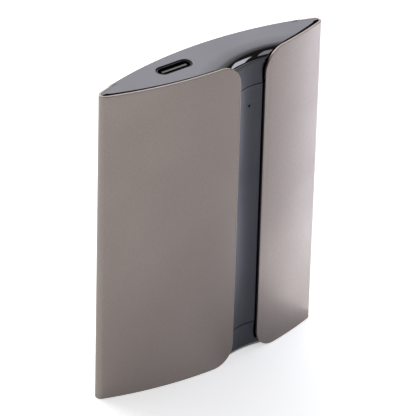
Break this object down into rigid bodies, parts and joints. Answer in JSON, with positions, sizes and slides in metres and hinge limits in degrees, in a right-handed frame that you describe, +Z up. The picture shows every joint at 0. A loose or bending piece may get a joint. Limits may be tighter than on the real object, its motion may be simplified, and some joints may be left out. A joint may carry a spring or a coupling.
{
  "type": "portable solid state drive",
  "caption": "Slim portable solid state drive: a lens-shaped metal sleeve with a recessed dark strip along its front, dark end caps and a USB-C port in one end.",
  "frame": {"origin": "middle of the foot, on the face that the drive stands on", "axes": "+Z up from the foot to the end with the port, X across the width, -Y out of the slotted front"},
  "size_m": [0.0604, 0.0122, 0.08],
  "materials": {
    "shell_metal": "matte",
    "cap_plastic": "matte",
    "carrier_plastic": "matte",
    "receptacle_steel": "satin",
    "tongue_plastic": "matte",
    "contact_gold": "satin",
    "board_laminate": "satin",
    "chip_epoxy": "matte",
    "inductor_ferrite": "matte",
    "crystal_can": "satin",
    "capacitor_ceramic": "satin",
    "resistor_ceramic": "satin",
    "led_resin": "satin",
    "pipe_clear": "gloss",
    "pad_silicone": "matte",
    "screw_steel": "satin"
  },
  "bodies": {
    "root": {"outer_shell": "shell_metal", "top_cap": "cap_plastic", "bottom_cap": "cap_plastic", "carrier": "carrier_plastic", "circuit_board": "board_laminate", "board_screws": "screw_steel", "usb_shell": "receptacle_steel", "usb_tongue": "tongue_plastic", "usb_contacts": "contact_gold", "drive_controller": "chip_epoxy", "flash_chip_1": "chip_epoxy", "flash_chip_2": "chip_epoxy", "flash_chip_3": "chip_epoxy", "flash_chip_4": "chip_epoxy", "power_chip": "chip_epoxy", "power_inductor_1": "inductor_ferrite", "power_inductor_2": "inductor_ferrite", "crystal": "crystal_can", "status_led": "led_resin", "capacitors": "capacitor_ceramic", "resistors": "resistor_ceramic", "light_pipe": "pipe_clear", "thermal_pad": "pad_silicone"}
  },
  "joints": []
}
